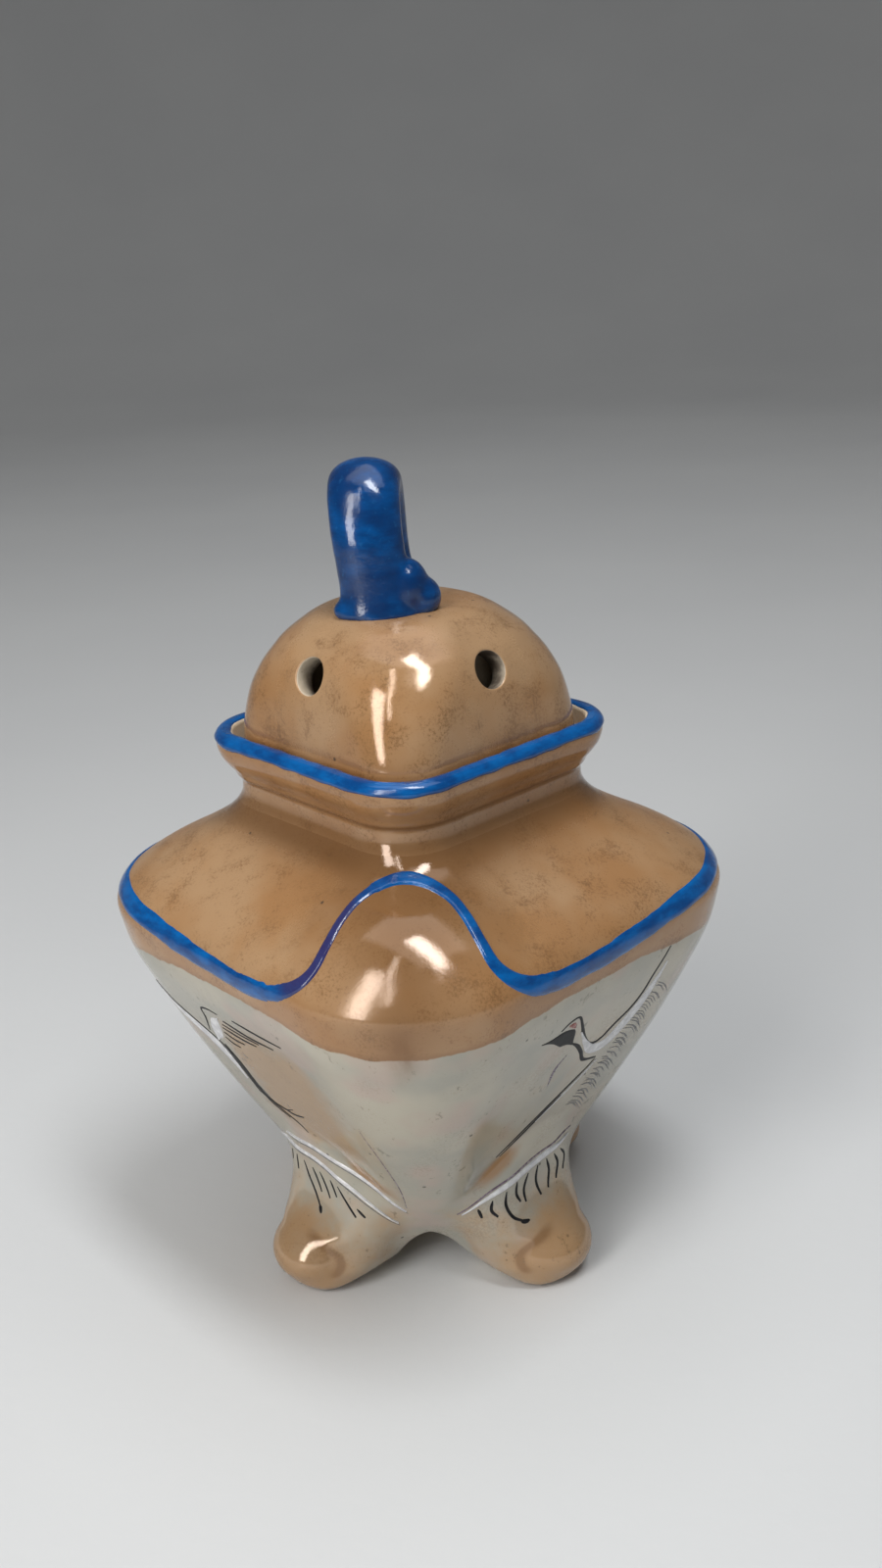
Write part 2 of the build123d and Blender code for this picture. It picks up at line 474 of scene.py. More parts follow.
PEARL = (0.455, 0.415, 0.330)
PEARL_COOL = (0.365, 0.352, 0.295)
PEARL_PINK = (0.465, 0.360, 0.300)
PEACH = (0.415, 0.280, 0.160)
TAN = (0.365, 0.190, 0.078)
TAN_PALE = (0.425, 0.262, 0.138)
TAN_DEEP = (0.185, 0.088, 0.032)
TOE_TAN = (0.390, 0.232, 0.112)
AMBER = (0.36, 0.195, 0.080)
UMBER = (0.12, 0.06, 0.025)
SPECK = (0.06, 0.045, 0.03)
COBALT, COBALT_PALE, COBALT_DEEP = (0.0, 0.032, 0.128), (0.0, 0.064, 0.235), (0.0, 0.017, 0.082)
LINE_BLUE, LINE_PALE = (0.0, 0.045, 0.185), (0.0, 0.105, 0.350)
BLUE_FLECK, THIN_VIOLET = (0.02, 0.14, 0.34), (0.035, 0.018, 0.075)
CLAY_CREAM, CLAY_PALE = (0.56, 0.45, 0.32), (0.66, 0.57, 0.44)
# the last colour darkens the inside of the vents: painted shade, with some soot
CLAY_BROWN, CLAY_SAND, SHADE_AND_SOOT = (0.36, 0.26, 0.16), (0.18, 0.12, 0.07), (0.035, 0.020, 0.012)


def lustre_material(name, always_tan=False):
    """Mother-of-pearl glaze with a peach-tan lustre wash, told apart by masks on the mesh."""
    n = Nodes(name)
    cloud = n.noise(19, 3, 0.55)
    small_cloud = n.noise(4.5, 4, 0.6, shift=0.3)
    grain = n.noise(0.42, 3, 0.75)
    tan = n.wash(TAN, TAN_PALE, cloud, 0.36, 0.66)
    tan = n.wash(tan, TAN_DEEP, n.times(grain, small_cloud), 0.24, 0.40, 0.55)
    tan = n.wash(tan, TAN_DEEP, n.mask("shade"), 0.0, 1.0, 0.85)
    if always_tan:
        colour = tan
    else:
        unevenness = n.plus(small_cloud, -0.5)
        wobble = n.times(unevenness, 0.8)
        pearl = n.wash(PEARL, PEARL_COOL, cloud, 0.38, 0.60)
        pearl = n.wash(pearl, PEARL_PINK, n.noise(11, 2, 0.5, shift=0.5), 0.5, 0.72, 0.75)
        pearl = n.wash(pearl, PEARL, small_cloud, 0.35, 0.7, 0.3)
        pearl = n.wash(pearl, PEACH, n.plus(n.mask("peach"), wobble), 0.15, 0.85)
        pearl = n.wash(pearl, AMBER, n.plus(n.mask("pool"), n.times(wobble, 0.6)), 0.20, 0.85, 0.9)
        pearl = n.wash(pearl, TOE_TAN, n.plus(n.mask("toe"), n.times(wobble, 0.5)), 0.0, 1.0, 0.82)
        # painted shade in the crease round the inner side of each toe
        pearl = n.wash(pearl, TAN_DEEP, n.mask("toe_crease_shade"), 0.2, 0.9, 0.6)
        edge = n.plus(n.mask("above_line"), n.times(unevenness, 1.6))
        is_tan = n.ramp(edge, -0.16, 0.16)
        colour = n.mix(is_tan, pearl, tan)
        colour = n.mix(n.times(is_tan, n.ramp(edge, 0.1, 1.3, 0.32, 0.0)), colour, TAN_DEEP)
    streak = n.noise(3.2, 3, 0.6, stretch=(1, 1, 0.25), shift=0.9)
    colour = n.mix(n.times(n.mask("drip"), n.ramp(streak, 0.3, 0.7, 0.35, 1.0)), colour, TAN_DEEP)
    scatter = n.ramp(n.noise(7, 1, 0.5, shift=1.7), 0.48, 0.54)
    dot = n.times(n.ramp(n.cells(5.2), 0.035, 0.075, 1.0, 0.0), scatter)
    colour = n.mix(n.times(dot, 0.8), colour, SPECK)
    colour = n.wash(colour, UMBER, n.times(grain, n.noise(9, 2, 0.5, shift=2.3)), 0.29, 0.42, 0.17)
    scuff = n.times(n.noise(1.1, 3, 0.7, stretch=(1, 1, 0.6), shift=4.1), small_cloud)
    scuff = n.ramp(scuff, 0.335, 0.43, 0.0, 0.14 if always_tan else 0.42)
    if not always_tan:
        scuff = n.times(scuff, n.ramp(is_tan, 0.0, 1.0, 1.0, 0.35))
    colour = n.mix(scuff, colour, SPECK)
    rough = n.times(n.ramp(grain, 0.25, 0.8, 0.27, 0.37), n.ramp(n.mask("gloss"), 0.0, 1.0, 1.0, 0.19))
    relief = n.bump(n.noise(7, 2, 0.5, shift=3.1), 0.10)
    relief = n.bump(grain, 0.012, relief)
    relief = n.bump(dot, -0.05, relief)
    return n.finish(colour, rough, relief, Metallic=0.13, IOR=1.6)


def enamel_material():
    """Deep glossy cobalt enamel laid on with a brush, a brighter blue where the mesh says line."""
    n = Nodes("cobalt_enamel")
    brush = n.noise(2.2, 4, 0.6, stretch=(0.5, 0.5, 1.4))
    patch = n.noise(7, 2, 0.5, shift=0.8)
    colour = n.wash(COBALT, COBALT_PALE, brush, 0.3, 0.7)
    colour = n.wash(colour, COBALT_DEEP, patch, 0.42, 0.66, 0.7)
    colour = n.mix(n.mask("line"), colour, n.wash(LINE_BLUE, LINE_PALE, brush, 0.3, 0.7))
    colour = n.wash(colour, BLUE_FLECK, n.noise(0.9, 2, 0.5), 0.62, 0.78, 0.25)
    colour = n.wash(colour, THIN_VIOLET, n.mask("thin"), 0.1, 0.9, 0.8)
    relief = n.bump(n.noise(1.6, 3, 0.5, shift=1.1), 0.07)
    relief = n.bump(n.noise(0.35, 2, 0.5), 0.008, relief)
    return n.finish(colour, n.ramp(patch, 0.3, 0.8, 0.10, 0.24), relief, IOR=1.55)


def earthenware_material():
    """Bare cream body clay with fine sand, darkened inside the vents by painted shade and soot where the
    mesh says so.
    """
    n = Nodes("cream_earthenware")
    fine = n.noise(0.5, 4, 0.7)
    colour = n.wash(CLAY_CREAM, CLAY_PALE, n.noise(9, 3, 0.6), 0.3, 0.7)
    colour = n.wash(colour, CLAY_BROWN, fine, 0.55, 0.85, 0.5)
    colour = n.mix(n.ramp(n.cells(1.9), 0.05, 0.11, 0.55, 0.0), colour, CLAY_SAND)
    # painted shade deepening into the vents, mixed with soot
    vent_shade_and_soot = n.times(n.mask("vent_shade_and_soot"), n.ramp(n.noise(2.2, 3, 0.6, shift=0.6), 0.3, 0.6, 0.6, 1.0))
    colour = n.mix(vent_shade_and_soot, colour, SHADE_AND_SOOT)
    relief = n.bump(fine, 0.05, n.bump(n.noise(2.6, 3, 0.6), 0.10))
    return n.finish(colour, n.ramp(fine, 0.2, 0.8, 0.55, 0.8), relief)


def paint_material(name, dark, pale, size, rough=0.22, shine=0.5):
    """Thin overglaze paint, uneven where the brush was dry."""
    n = Nodes(name)
    dry = n.noise(size, 4, 0.7)
    colour = n.wash(dark, pale, dry, 0.35, 0.72)
    relief = n.bump(n.noise(0.9, 2, 0.5), 0.012)
    rough = n.ramp(dry, 0.3, 0.8, rough, rough + 0.14)
    return n.finish(colour, rough, relief, IOR=1.5, Specular_IOR_Level=shine)


LUSTRE = lustre_material("pearl_and_tan_lustre")
LUSTRE_TAN = lustre_material("tan_lustre", always_tan=True)
ENAMEL = enamel_material()
CLAY = earthenware_material()
INK = paint_material("black_ink", (0.005, 0.005, 0.006), (0.022, 0.021, 0.024), 1.2, 0.4, 0.15)
GREY = paint_material("grey_wash", (0.075, 0.075, 0.08), (0.20, 0.195, 0.195), 0.9, 0.3, 0.3)
SLIP = paint_material("white_slip", (0.56, 0.56, 0.58), (0.78, 0.78, 0.79), 1.5, 0.15)
RED = paint_material("red_paint", (0.20, 0.035, 0.025), (0.32, 0.09, 0.065), 0.8)
VIOLET = paint_material("violet_wash", (0.11, 0.075, 0.11), (0.25, 0.20, 0.24), 1.0)

# ---------------------------------------------------------------- vessel body
STEP, HOLLOW_STEP = 0.75, 1.4     # spacing of the rings along the outside and the inside
BLEND_TOP = 24.0                  # below this the rings bend down to the foot of the legs
FLOOR_INSIDE, FLOOR_DIP = 13.0, 0.5
UNDER_ROWS, FLOOR_ROWS = 40, 14   # rings on the underside and on the floor inside
GLAZED_ROWS = 6                   # rings of the underside that the glaze runs in over
NEAR, FAR = 4.0, 64.0             # distances from the axis between which the outside is looked for
angles = np.arange(TURNS) * 2 * math.pi / TURNS
cosines, sines = np.cos(angles), np.sin(angles)


def smooth_rows(rows, first, last, rounds):
    """Evens out a stack of rings between two rows."""
    for _ in range(rounds):
        middle = (rows[first - 1 : last] + 2 * rows[first : last + 1] + rows[first + 1 : last + 2]) / 4
        rows[first : last + 1] = middle
    return rows


def face_coordinates(points):
    """For each point n, t, and whether its face is the front right one or the opposite one."""
    x, y = points[:, 0], points[:, 1]
    is_right = x * y < 0
    t = np.where(is_right, x + y, x - y) / ROOT2
    mirrored = (is_right & (x < 0)) | ((x * y > 0) & (y > 0))
    return folded(x, y)[0], np.where(mirrored, -t, t), is_right


def blob(t, z, centre_t, centre_z, long, short, turn):
    """Soft elliptical patch on a face."""
    c, s = math.cos(math.radians(turn)), math.sin(math.radians(turn))
    a, b = t - centre_t, z - centre_z
    return np.exp(-(((a * c + b * s) / long) ** 2) - ((-a * s + b * c) / short) ** 2)


TAN_LINE_Z = 58.8                 # where the tan wash ends, at a corner


def body_masks(points):
    """Masks that tell the glaze's zones apart."""
    n, t, is_right = face_coordinates(points)
    x, y, z = points[:, 0], np.abs(points[:, 1]), points[:, 2]
    line = TAN_LINE_Z + 1.7 * (1 - smoothstep(np.abs(t), 4, 34))
    nose = bell(x, 0, 15) * bell(y, 40, 13)
    shoulder = smoothstep(z, 63.5, 66) * (1 - smoothstep(z, 76.5, 79.5))
    toe = toe_distance(x, y, z)
    on_foot = smoothstep(n, 19, 24) * (1 - smoothstep(z, 13, 20))
    inner_side = smoothstep(y - np.abs(x), -3, 5) * smoothstep(z, 2.5, 5)
    pools = blob(np.abs(t), z, np.where(is_right, 8.6, 12.0), 23.8, 5.2, 2.6, -38) * (y > np.abs(x))
    side = np.where(is_right, 0.25, 0.9)
    peach = side * np.exp(-(((t - 4) / 13) ** 4)) * smoothstep(z, 24, 32) * (1 - smoothstep(z, 46, 57))
    leg = (1 - smoothstep(z, 13, 22)) * smoothstep(n, 15, 20)
    shade = 0.7 * bell(z, 80, 3.2) + 0.34 * bell(x, 0, 26) * smoothstep(z, 68, 77)
    shade = shade + (0.9 * bell(x, 0, 9) * bell(z, 65, 8) + 0.3) * nose
    return {
        "above_line": z - line,
        "gloss": np.clip(1 - shoulder * (1 - 0.95 * nose), 0, 1),
        "toe": on_foot * (1 - smoothstep(toe, -1.0, 4.5)),
        # painted shade in the crease where each toe swells out of its leg
        "toe_crease_shade": on_foot * inner_side * bell(toe, 0.5, 0.45),
        "pool": pools,
        "peach": np.clip(np.maximum(peach, 0.52 * leg), 0, 1),
        "drip": 0.85 * bell(x, -0.5, 1.8) * bell(z, 60, 4.5) * (y > 20),
        "shade": np.clip(shade, 0, 1),
    }


def build_body():
    """The pot below its neck with its four feet, its hollow inside, as one closed mesh."""
    zeros = np.zeros(TURNS)
    edge = crossing(
        lambda u: body_distance(u * cosines, u * sines, under_height(u * cosines, u * sines)),
        zeros + NEAR, zeros + FAR, 120,
    )
    edge_z = under_height(edge * cosines, edge * sines)
    levels = np.concatenate([
        even_levels(lower_curve, 0.0, EDGE_Z, STEP)[1:-1],
        even_levels(upper_curve, EDGE_Z, JOINT_Z, STEP),
    ])
    z = levels[:, None] + edge_z * np.maximum(1 - levels[:, None] / BLEND_TOP, 0)
    zeros = np.zeros(z.shape)
    radius = crossing(
        lambda u: body_distance(u * cosines, u * sines, z), zeros + NEAR, zeros + FAR
    )
    outer = np.stack([radius * cosines, radius * sines, z], -1)
    under = []
    for share in np.linspace(0, 1, UNDER_ROWS)[1:]:
        x, y = share * edge * cosines, share * edge * sines
        under.append(np.stack([x, y, under_height(x, y)], -1))
    rows = np.concatenate([np.array(under), outer])
    last_under = len(under) - 1
    rows = smooth_rows(rows, last_under - 1, last_under + 1, 2)
    rows[..., 2] = np.maximum(rows[..., 2], 0)
    hollow_levels = even_levels(cavity_curve, FLOOR_INSIDE, JOINT_Z, HOLLOW_STEP)[::-1]
    hollow = [outline(angles, *cavity_curve(h), h) for h in hollow_levels]
    floor = [
        hollow[-1] * [share, share, 1] - [0, 0, FLOOR_DIP * (1 - share)]
        for share in np.linspace(0.94, 0.06, FLOOR_ROWS)
    ]
    inside = smooth_rows(np.array(hollow + floor), len(hollow) - 3, len(hollow) + 2, 4)
    made = Builder()
    outer_rings = [made.ring(row) for row in rows]
    made.fan(outer_rings[0], [0, 0, under_height(np.array(0.0), np.array(0.0))], 1)
    for i, (a, b) in enumerate(zip(outer_rings, outer_rings[1:])):
        made.band(a, b, 1 if i < last_under - GLAZED_ROWS else 0)
    inner_rings = made.stack(inside, 1)
    made.band(outer_rings[-1], inner_rings[0], 1)
    made.fan(inner_rings[-1], [0, 0, inside[-1, 0, 2]], 1)
    nodes = ["body_shell", "foot_front_left", "foot_front_right", "foot_back_left", "foot_back_right"]
    made.piece("vessel_body", "vessel", "lustre_glaze", [LUSTRE, CLAY], nodes, body_masks)


build_body()

# ---------------------------------------------------------------- collar and its blue rim
LIP_STEP, MOUTH_ROUND = 0.35, 0.6  # spacing of the rings on the lip, and the rounding into the mouth
RIM_LIFT = 0.32                   # thickness of the enamel on the rim


def collar_masks(points):
    """The collar is tan lustre all over, darker low on the neck."""
    z = points[:, 2]
    one = np.ones(len(z))
    groove = bell(z, 84.6, 0.5) + 0.8 * bell(z, 81.2, 1.6)
    return {"gloss": one, "drip": 0 * one, "shade": np.clip(0.25 + 0.6 * groove, 0, 1)}


def build_collar():
    """The square neck and its thick lip, with the ledge that the lid sits on."""
    bend_z = RIM_Z - RIM_ROUND
    heights = np.concatenate([np.arange(JOINT_Z, bend_z, LIP_STEP), [bend_z]])
    rows = [outline(angles, *section(h), h) for h in heights]
    s, r = section(bend_z)
    for turn in np.radians(np.arange(18, 91, 18)):
        wide = grown(s, r, -RIM_ROUND * (1 - math.cos(turn)))
        rows.append(outline(angles, *wide, bend_z + RIM_ROUND * math.sin(turn)))
    rows.append(outline(angles, *grown(MOUTH_S, MOUTH_R, MOUTH_ROUND + 0.1), RIM_Z))
    outside = len(rows)
    for turn in np.radians(np.arange(0, 91, 30)):
        wide = grown(MOUTH_S, MOUTH_R, MOUTH_ROUND * (1 - math.sin(turn)))
        rows.append(outline(angles, *wide, RIM_Z - MOUTH_ROUND * (1 - math.cos(turn))))
    mouth, bore = (MOUTH_S, MOUTH_R), (BORE_S, BORE_R)
    for base, wider, z in (
        (mouth, 0, LEDGE_Z + 0.5), (mouth, -0.3, LEDGE_Z), (bore, 0.4, LEDGE_Z),
        (bore, 0, LEDGE_Z - 0.4), (bore, 0, JOINT_Z),
    ):
        rows.append(outline(angles, *grown(*base, wider), z))
    made = Builder()
    rings = made.stack(rows[:outside], 0)
    inner = made.stack(rows[outside:], 1)
    made.band(rings[-1], inner[0], 1)
    made.band(inner[-1], rings[0], 1)
    made.piece("collar_ring", "vessel", "lustre_glaze", [LUSTRE_TAN, CLAY], ["collar"], collar_masks)


def slow_noise(angle, waves, seed):
    """Smooth repeatable unevenness round the pot, between about -1 and 1."""
    draw = np.random.default_rng(seed)
    total = np.zeros(np.shape(angle))
    for wave in waves:
        total += 0.84 * np.sin(wave * angle + draw.uniform(0, 2 * math.pi)) * draw.uniform(0.5, 1)
    return total / math.sqrt(len(waves))


def build_rim_enamel():
    """Blue enamel over the flat of the rim, running a little way down its outer edge."""
    bend_z = RIM_Z - RIM_ROUND
    lip, mouth = section(bend_z), (MOUTH_S, MOUTH_R)
    low = 0.25 * slow_noise(angles, (5, 9, 14, 23, 37), 3) - 0.1
    inner = 0.22 * slow_noise(angles, (4, 7, 13, 21, 33), 5)
    edge = 0.8 * RIM_LIFT
    places = [(lip, -0.35, bend_z - 0.2 + low), (lip, 0.12, bend_z + low), (lip, edge, bend_z + 0.35 + low)]
    for turn in np.radians([20, 40, 60, 80, 90]):
        distance = (RIM_ROUND + edge) * math.cos(turn) - RIM_ROUND
        places.append((lip, distance, bend_z + (RIM_ROUND + RIM_LIFT) * math.sin(turn)))
    places += [
        (mouth, 1.6 + 0.3 * inner, RIM_Z + 1.1 * RIM_LIFT), (mouth, 0.75 + inner, RIM_Z + edge),
        (mouth, 0.45 + inner, RIM_Z + 0.35 * RIM_LIFT), (mouth, 0.4 + inner, RIM_Z - 0.5),
    ]
    made = Builder()
    rings = made.stack([outline(angles, *grown(*base, distance), z) for base, distance, z in places])
    made.band(rings[-1], rings[0])
    made.piece("rim_enamel", "vessel", "blue_enamel", [ENAMEL], ["rim_line"], full_enamel, 80)


def full_enamel(points):
    """Enamel of full thickness and the lines' brighter blue all over."""
    return {"thin": np.zeros(len(points)), "line": np.ones(len(points))}


build_collar()
build_rim_enamel()

# ---------------------------------------------------------------- painted lines on the glaze
def slope_of(points):
    """Distance to the vessel's outside and its gradient at each point."""
    h = 0.05
    offsets = h * np.array([(0, 0, 0), (1, 0, 0), (-1, 0, 0), (0, 1, 0), (0, -1, 0), (0, 0, 1), (0, 0, -1)])
    x, y, z = np.moveaxis(points[None] + offsets[:, None], -1, 0)
    found = body_distance(x, y, z)
    return found[0], (found[1::2] - found[2::2]).T / (2 * h)


def onto_body(points):
    """Moves points onto the vessel's outside and gives the outward directions there."""
    points = np.array(points, float)
    for _ in range(5):
        here, gradient = slope_of(points)
        points = points - (here / np.maximum((gradient ** 2).sum(-1), 0.05))[:, None] * gradient
    gradient = slope_of(points)[1]
    return points, gradient / np.linalg.norm(gradient, axis=-1)[:, None]


def spline(points, step, closed=False):
    """Evenly spaced points on a smooth curve through the given ones; extra columns go along."""
    p = np.array(points, float)
    if closed:
        p = np.concatenate([p[-1:], p, p[:2]])
    else:
        p = np.concatenate([2 * p[:1] - p[1:2], p, 2 * p[-1:] - p[-2:-1]])
    out = []
    for a, b, c, d in zip(p, p[1:], p[2:], p[3:]):
        count = max(3, int(np.linalg.norm((c - b)[:3]) / step * 3))
        u = np.linspace(0, 1, count, endpoint=False)[:, None]
        out.append(0.5 * (2 * b + (c - a) * u + (2 * a - 5 * b + 4 * c - d) * u ** 2
                          + (3 * b - a - 3 * c + d) * u ** 3))
    fine = np.concatenate(out + ([] if closed else [p[-2:-1]]))
    if closed:
        fine = np.concatenate([fine, fine[:1]])
    length = np.concatenate([[0], np.cumsum(np.linalg.norm(np.diff(fine[:, :3], axis=0), axis=1))])
    count = max(3, int(round(length[-1] / step)) + 1)
    where = np.linspace(0, length[-1], count)
    even = np.stack([np.interp(where, length, fine[:, k]) for k in range(fine.shape[1])], -1)
    return even[:-1] if closed else even


def lay_line(made, centre, width, height, closed=False, sink=0.07, across=7):
    """A raised, crowned line of paint along points on the glaze."""
    centre, normal = onto_body(centre)
    ahead = np.roll(centre, -1, 0) - np.roll(centre, 1, 0)
    if not closed:
        ahead[0], ahead[-1] = centre[1] - centre[0], centre[-1] - centre[-2]
    side = np.cross(ahead, normal)
    side /= np.linalg.norm(side, axis=1)[:, None]
    shares = np.linspace(-1, 1, across)
    spread = centre + side * (shares[:, None] * width / 2)[..., None]
    flat, out = onto_body(spread.reshape(-1, 3))
    lift = np.where(np.abs(shares) > 0.99, -sink, height * (1 - shares ** 4) ** 0.5)
    rows = (flat + out * np.repeat(lift, len(centre))[:, None]).reshape(across, -1, 3)
    rows = np.concatenate([rows, (centre - normal * (sink + 0.06))[None]])
    loops = [made.ring(loop) for loop in rows.transpose(1, 0, 2)]
    for a, b in zip(loops, loops[1:]):
        made.band(a, b)
    if closed:
        made.band(loops[-1], loops[0])
    else:
        made.cap(loops[0])
        made.cap(loops[-1])


# one quarter of the shoulder line, (x, y, z, width), from the crown of a swelling to a plain corner
SHOULDER_LINE = [
    (0.0, 29.7, 77.0, 2.6), (3.2, 30.5, 76.0, 2.4), (6.0, 32.6, 74.3, 2.2), (8.0, 35.6, 72.6, 2.1),
    (9.9, 38.8, 70.7, 2.1), (12.2, 41.3, 68.5, 2.3), (15.2, 41.7, 66.8, 2.9), (18.8, 39.6, 65.0, 3.5),
    (23.0, 35.6, 64.2, 3.6), (29.4, 29.2, 64.5, 3.6), (36.0, 22.5, 65.4, 3.6), (41.6, 16.4, 66.4, 3.5),
    (46.2, 9.5, 67.1, 3.3), (48.6, 0.0, 67.4, 3.2),
]


def build_shoulder_line():
    """The blue line round the shoulder, which climbs over the two swellings."""
    quarter = np.array(SHOULDER_LINE)
    back = quarter[::-1][1:]
    half = np.concatenate([quarter, back * [1, -1, 1, 1]])
    loop = np.concatenate([half, (half[::-1] * [-1, 1, 1, 1])[1:-1]])
    even = spline(loop, 0.55, closed=True)
    turn = np.arctan2(even[:, 1], even[:, 0])
    width = even[:, 3] * (1 + 0.09 * slow_noise(turn, (7, 11, 17, 29, 43), 11))
    width = width * np.where((even[:, 0] < -4) & (even[:, 1] < 0) & (even[:, 0] > -20), 0.78, 1.0)
    even[:, 2] += 0.16 * slow_noise(turn, (6, 13, 19, 31), 12)
    made = Builder()
    lay_line(made, even[:, :3], width, 0.30, closed=True, across=9)

    def thin(points):
        """The enamel runs thin and violet left of the front swelling."""
        near = np.exp(-(((points[:, 0] + 12) / 6) ** 4) - ((points[:, 1] + 38) / 7) ** 4)
        return {"thin": near, "line": np.ones(len(points))}

    made.piece("shoulder_enamel", "vessel", "blue_enamel", [ENAMEL], (), thin, 80)


FACES = ("front_right", "back_right", "back_left", "front_left")


def on_face(face, flat):
    """Points (t, z) of a face as points in space on the glaze."""
    flat = np.array(flat, float)
    turn = math.radians(-45 + 90 * face)
    out = np.array([math.cos(turn), math.sin(turn)])
    right = np.array([-out[1], out[0]])
    base = flat[:, :1] * right

    def distance(u):
        x, y = (u * out[0] + base[:, 0]), (u * out[1] + base[:, 1])
        return body_distance(x, y, flat[:, 1])

    n = crossing(distance, np.full(len(flat), 2.0), np.full(len(flat), 60.0), 110)
    return np.concatenate([base + n[:, None] * out, flat[:, 1:2]], 1)


def taper(count, start, end):
    """Brush pressure along a stroke, thinner at its ends."""
    u = np.linspace(0, 1, count)
    return np.minimum(1, start + (1 - start) * u / 0.25) * np.minimum(1, end + (1 - end) * (1 - u) / 0.3)


def stroke(made, face, points, width, height=0.07, start=0.35, end=0.35):
    """One brush stroke through points (t, z), or (t, z, width) where its width changes."""
    rows = np.array(points, float)
    if rows.shape[1] == 2:
        rows = np.concatenate([rows, np.full((len(rows), 1), width)], 1)
    guide = on_face(face, rows[:, :2])
    even = spline(np.concatenate([guide, rows[:, 2:]], 1), 0.4)
    widths = np.maximum(even[:, 3], 0.12) * taper(len(even), start, end)
    lay_line(made, even[:, :3], widths, height, across=9 if widths.max() > 1.4 else 5)


# strokes of the crane with outstretched neck: t to the right, z up, and the width where it changes
CRANE_HEAD_INK = [
    ([(-11.2, 52.5, 0.3), (-8.8, 52.0, 1.2), (-6.5, 51.5, 3.3), (-4.2, 50.2, 4.0), (-2.5, 48.2, 1.5)], 1.0),
    ([(-7.2, 53.2), (-5.6, 54.3), (-3.6, 54.3), (-1.9, 51.9), (0.0, 48.7), (2.2, 46.0), (4.2, 45.0),
      (6.0, 45.4), (7.9, 47.0), (10.8, 49.0), (12.5, 51.6), (13.4, 55.3), (15.4, 59.6)], 0.8),
    ([(-2.9, 48.6), (-0.6, 46.8), (1.4, 44.4), (3.2, 41.8), (6.9, 40.4)], 0.9),
    ([(6.9, 40.0), (5.6, 38.6), (3.1, 36.6), (-1.0, 33.4), (-5.5, 29.8), (-9.5, 26.6)], 0.8),
    ([(1.6, 34.6, 0.4), (-1.6, 31.9, 0.9), (-5.0, 29.0, 0.9), (-8.6, 26.3, 0.3)], 0.8),
]
CRANE_HEAD_SLIP = [
    ([(-1.2, 50.0, 0.8), (1.4, 46.5, 1.5), (4.4, 43.6, 2.3), (8.0, 43.2, 3.0), (11.0, 45.8, 3.2),
      (13.4, 49.0, 3.0), (14.8, 52.6, 2.6), (15.8, 56.6, 1.0)], 2.0),
    ([(7.6, 39.4), (5.0, 36.9), (1.0, 33.7), (-2.6, 30.9)], 0.55),
]
CRANE_LOWER_WING = [
    ([(10.0, 22.3), (7.0, 22.7), (3.9, 22.4), (0.3, 22.2), (-4.3, 21.0), (-9.7, 18.9), (-13.5, 15.2)], 0.5),
]
CRANE_LOWER_SLIP = [
    ([(9.0, 21.4, 0.8), (4.0, 21.3, 1.4), (1.0, 21.0, 1.5), (-4.3, 19.9, 1.3), (-9.7, 18.0, 0.9),
      (-12.9, 15.1, 0.4)], 1.3),
]
CRANE_FEATHERS = [
    [(6.4, 20.0), (7.6, 18.2), (6.6, 16.0)], [(4.6, 20.0), (5.4, 17.9), (4.5, 15.4)],
    [(2.7, 20.0), (3.2, 17.5), (2.3, 14.8)], [(0.6, 19.8), (0.0, 17.2), (0.4, 14.5)],
    [(-1.7, 19.4), (-2.9, 17.0), (-3.0, 14.8)], [(-4.3, 19.0), (-4.7, 17.0), (-4.1, 15.3)],
    [(-6.6, 18.2), (-7.0, 15.8), (-6.3, 13.6), (-4.6, 12.3)], [(-9.0, 17.3), (-9.3, 15.5), (-8.6, 14.3)],
    [(-11.0, 16.0), (-10.6, 14.3)],
]
# strokes of the crane seen on its other side, whose head is round the corner of the face
CRANE_TAIL_INK = [
    ([(-5.6, 52.7), (-7.9, 52.8), (-10.4, 52.0), (-11.0, 49.6), (-12.6, 46.2)], 0.4),
    ([(-24.0, 52.0), (-18.6, 48.3), (-13.3, 45.2), (-10.6, 42.9), (-9.8, 38.0), (-9.2, 33.1)], 0.5),
    ([(-10.2, 44.0, 0.8), (-9.3, 41.0, 1.5), (-9.0, 37.5, 2.0), (-8.2, 34.2, 1.5), (-6.4, 32.4, 0.7),
      (-3.6, 31.9, 0.5), (-0.5, 33.4, 0.3)], 1.0),
    ([(-5.0, 32.2), (-1.3, 31.9), (2.0, 33.0)], 0.45), ([(-9.2, 33.4), (-4.6, 30.8), (-0.1, 28.2)], 0.4),
    ([(-9.6, 37.2), (-7.6, 31.8), (-4.0, 29.6)], 0.4),
    ([(-1.1, 53.4), (4.8, 53.2), (11.0, 53.4)], 0.55), ([(-4.9, 51.6), (1.3, 51.0), (7.7, 51.4)], 0.55),
    ([(-6.0, 50.4), (-1.0, 50.2), (3.4, 50.4)], 0.35), ([(-6.6, 49.4), (-1.6, 49.1), (2.1, 49.4)], 0.5),
    ([(-7.2, 48.2), (-4.8, 47.6), (-2.0, 47.8)], 0.45), ([(-7.9, 46.8), (-6.4, 46.0), (-4.4, 46.0)], 0.4),
]
CRANE_TAIL_SLIP = [
    ([(-6.4, 51.6, 0.6), (-8.4, 49.6, 2.4), (-10.0, 46.8, 2.8), (-11.6, 44.4, 1.0)], 2.0),
    ([(-23.0, 50.4, 0.8), (-18.0, 46.6, 2.6), (-13.8, 43.4, 3.2), (-11.6, 39.6, 2.6),
      (-10.6, 35.8, 0.8)], 2.0),
]
TAIL_PALE_LINES = [
    [(-16.0, 18.6), (-10.8, 21.0), (-2.0, 22.3), (6.0, 20.4), (10.2, 17.6), (12.9, 13.4)],
    [(-9.2, 23.3), (-0.8, 25.2), (6.6, 24.0), (11.9, 21.2), (15.3, 16.9)],
]
